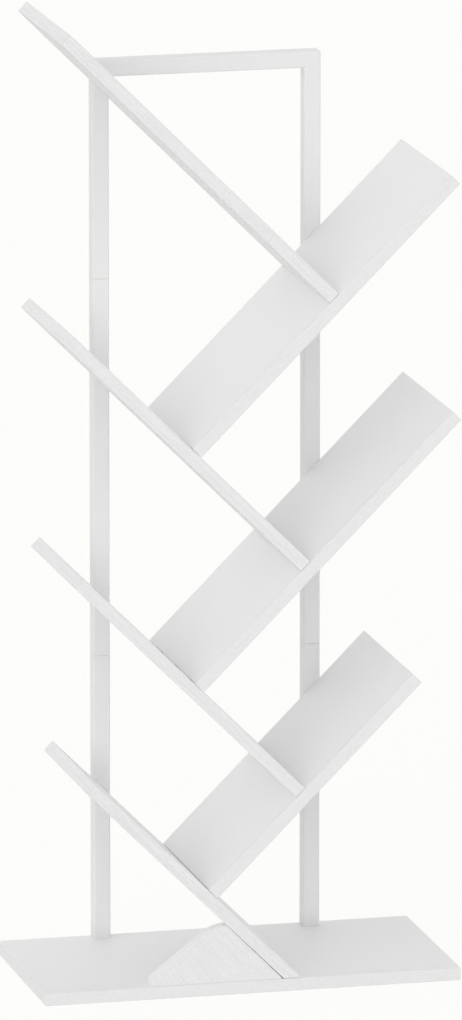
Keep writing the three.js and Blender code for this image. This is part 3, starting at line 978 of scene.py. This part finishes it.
def new_piece(name: str, points: np.ndarray, faces: list[tuple[int, ...]],
              material: bpy.types.Material, crease: float = 32.0) -> bpy.types.Object:
    """Makes a piece from points and faces, smooth but for its creases.

    Args:
        name: The piece's name.
        points: Its points, in metres.
        faces: Its faces, as indices.
        material: Its finish.
        crease: Edges that bend by more than this many degrees stay sharp.

    Returns:
        The piece, linked to the scene.
    """
    mesh = bpy.data.meshes.new(name)
    mesh.from_pydata(points, [], faces)
    mesh.shade_smooth()
    mesh.set_sharp_from_angle(angle=math.radians(crease))
    mesh.materials.append(material)
    piece = bpy.data.objects.new(name, mesh)
    bpy.context.scene.collection.objects.link(piece)
    return piece


def joint_screws() -> tuple[str, ...]:
    """Names the screws where a board stands on the next.

    Returns:
        The two screws in each of the six places.
    """
    carriers = ("right_shelf_1", "left_shelf_2", "right_shelf_2", "left_shelf_3", "right_shelf_3",
                "left_shelf_4")
    return tuple(f"{carrier}_joint_screw_{place}" for carrier in carriers for place in ("front", "rear"))


@dataclass
class Fasteners:
    """Every screw, bolt, dowel, sleeve and insert."""

    kinds: tuple[ScrewKind, ...] = (
        ScrewKind(
            tuple(f"left_shelf_{place}_bolt" for place in (1, 2, 3, 4))
            + tuple(f"right_shelf_{place}_bolt" for place in (1, 2, 3)),
            Head.PAN, head_radius=5.0 * MM, head_height=2.6 * MM,
            shank_radius=2.5 * MM, pitch=1.6 * MM, plain_share=0.5),
        ScrewKind(
            tuple(f"{side}_{level}_sleeve_screw" for side in ("left", "right")
                  for level in ("upper", "lower")),
            Head.PAN, head_radius=3.6 * MM, head_height=1.8 * MM,
            shank_radius=1.9 * MM, pitch=1.0 * MM),
        ScrewKind(
            joint_screws(),
            Head.COUNTERSUNK, head_radius=4.4 * MM, head_height=2.6 * MM,
            shank_radius=2.2 * MM, pitch=2.2 * MM, plain_share=0.35),
        ScrewKind(
            ("foot_screw_front", "foot_screw_rear", "gusset_screw_left", "gusset_screw_right"),
            Head.COUNTERSUNK, head_radius=3.8 * MM, head_height=2.4 * MM,
            shank_radius=1.9 * MM, pitch=1.8 * MM, plain_share=0.5),
        ScrewKind(
            ("left_post_bolt", "right_post_bolt"),
            Head.PAN, head_radius=5.5 * MM, head_height=3.2 * MM,
            shank_radius=3.0 * MM, pitch=1.5 * MM),
    )
    hidden_steel: tuple[str, ...] = ("left_upper_sleeve", "left_lower_sleeve", "right_upper_sleeve",
                                     "right_lower_sleeve", "left_post_insert", "right_post_insert")

    def build(self) -> None:
        """Turns every screw and dresses what stays a CAD node."""
        zinc = ZincPlate().material()
        beech = BareBeech().material()
        for kind in self.kinds:
            for node in kind.nodes:
                self.turn(kind, node, zinc)
        for node in self.hidden_steel:
            put_finish(node, zinc)
        for node in sorted(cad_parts):
            if node.endswith("_dowel"):
                put_finish(node, beech)
                LOG.info("dowel %s dressed", node)

    def turn(self, kind: ScrewKind, node: str, finish: bpy.types.Material) -> None:
        """Turns one screw, which then stands for its CAD node.

        Args:
            kind: Its sizes.
            node: The CAD node that it stands for.
            finish: Its material.
        """
        points, faces = kind.surface(Axis.of(node))
        piece = new_piece(node + "_turned", points, faces, finish)
        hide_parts(node)
        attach(piece, BODY)
        LOG.info("screw %s, %d faces", piece.name, len(faces))


@dataclass(frozen=True)
class SoftLight:
    """A wide soft light in the sky.

    Its strength towards a direction is its own strength times the cosine between that direction
    and its middle, raised to its focus.
    """

    middle: Triple
    strength: float
    focus: float


@dataclass
class Studio:
    """A white floor, an even sky with soft lights in it, and the camera."""

    floor_radius: float = 45.0
    floor_rings: int = 12
    floor_sides: int = 64
    floor_bounce: Colour = (0.80, 0.80, 0.80)
    floor_glow: float = 0.89
    backdrop: Colour = (1.0, 1.0, 0.98)
    backdrop_level: float = 0.985
    sky_level: float = 0.60
    soft_lights: tuple[SoftLight, ...] = (
        SoftLight((0.0, 1.0, 0.0), 0.69, 2.0),
        SoftLight((-0.64, -0.64, 0.42), 1.15, 8.0),
        SoftLight((-0.42, -0.90, 0.10), 1.70, 24.0),
        SoftLight((0.42, -0.90, 0.10), 1.54, 24.0),
    )
    lens: float = 428.307
    sensor: float = 36.0
    camera_place: Triple = (-3.30892, -13.43329, 3.65637)
    camera_yaw: float = 13.85066
    camera_pitch: float = 12.64969
    far_end: float = 120.0

    def build(self) -> None:
        """Sets up the floor, the sky and the camera."""
        scene = bpy.context.scene
        scene.view_settings.view_transform = "Standard"
        self.lay_floor()
        self.light_sky(scene)
        self.place_camera(scene)

    def unlit_rays(self, shader: Shader) -> Value:
        """1 for rays that show the background: from the camera, or through gloss or glass."""
        path = shader.node("LightPath")
        return path["Is Camera Ray"].most(path["Is Glossy Ray"]).most(path["Is Transmission Ray"])

    def lay_floor(self) -> None:
        """Lays the floor, a disc of rings round the shelf.

        A ring's radius grows with the square of its place, so that rings are close under the shelf.
        """
        growth = np.linspace(0.0, 1.0, self.floor_rings + 1)[1:] ** 2 * self.floor_radius
        turn = np.linspace(0.0, FULL_TURN, self.floor_sides, endpoint=False)
        flat = np.stack([np.cos(turn), np.sin(turn), np.zeros_like(turn)], axis=1)
        points = np.concatenate([np.zeros((1, 3)), (growth[:, None, None] * flat).reshape(-1, 3)])
        index = 1 + np.arange(self.floor_rings * self.floor_sides).reshape(self.floor_rings, -1)
        after = np.roll(index, -1, axis=1)
        middle = np.stack([np.zeros(self.floor_sides, int), index[0], after[0]], axis=1)
        sheet = np.stack([index[:-1], index[1:], after[1:], after[:-1]], axis=-1).reshape(-1, 4)
        faces = [tuple(face) for group in (middle, sheet) for face in group.tolist()]
        material, shader = new_material("studio_floor")
        bounce = shader.node("BsdfDiffuse", {}, {"Color": self.floor_bounce})
        paper = shader.node("BsdfDiffuse", {}, {"Color": self.backdrop})
        glow = shader.node("Emission", {}, {"Color": self.backdrop, "Strength": 1.0})
        seen = shader.node("MixShader", {}, {
            "Fac": self.floor_glow, "Shader": paper.socket("BSDF"), "Shader_001": glow.socket("Emission")})
        both = shader.node("MixShader", {}, {
            "Fac": self.unlit_rays(shader), "Shader": bounce.socket("BSDF"),
            "Shader_001": seen.socket("Shader")})
        shader.node("OutputMaterial", {}, {"Surface": both.socket("Shader")})
        new_piece("studio_floor", points, faces, material)
        LOG.info("floor laid")

    def light_sky(self, scene: bpy.types.Scene) -> None:
        """Lights the scene from all round.

        The sky's strength in a direction is its level plus that of every soft light. Where it is
        seen directly it is plain white.

        Args:
            scene: The scene to light.
        """
        world = bpy.data.worlds.new("studio_sky")
        world.use_nodes = True
        scene.world = world
        shader = Shader(world.node_tree)
        direction = shader.node("TexCoord").socket("Generated")
        level: Value | float = self.sky_level
        for light in self.soft_lights:
            towards = shader.node("VectorMath", {"operation": "DOT_PRODUCT"},
                                  {"Vector": direction, "Vector_001": light.middle})["Value"]
            level = towards.most(0.0).power(light.focus) * light.strength + level
        light = shader.node("Background", {}, {"Color": (1.0, 1.0, 1.0), "Strength": level})
        white = shader.node("Background", {}, {"Color": self.backdrop, "Strength": self.backdrop_level})
        both = shader.node("MixShader", {}, {
            "Fac": self.unlit_rays(shader), "Shader": light.socket("Background"),
            "Shader_001": white.socket("Background")})
        shader.node("OutputWorld", {}, {"Surface": both.socket("Shader")})
        LOG.info("sky lit")

    def place_camera(self, scene: bpy.types.Scene) -> None:
        """Places the camera at the photograph's viewing angle.

        Args:
            scene: The scene that it looks at.
        """
        data = bpy.data.cameras.new("camera")
        data.sensor_width = self.sensor
        data.lens = self.lens
        data.clip_end = self.far_end
        camera = bpy.data.objects.new("camera", data)
        camera.location = self.camera_place
        camera.rotation_euler = (
            math.radians(90.0 - self.camera_pitch), 0.0, -math.radians(self.camera_yaw))
        scene.collection.objects.link(camera)
        scene.camera = camera
        LOG.info("camera placed")


def main() -> None:
    """Builds the studio and dresses every sub-assembly."""
    logging.basicConfig(level=logging.INFO, format="%(name)s: %(message)s")
    Studio().build()
    Boards().dress()
    SteelFrame().dress()
    Fasteners().build()


if __name__ == "__main__":
    main()
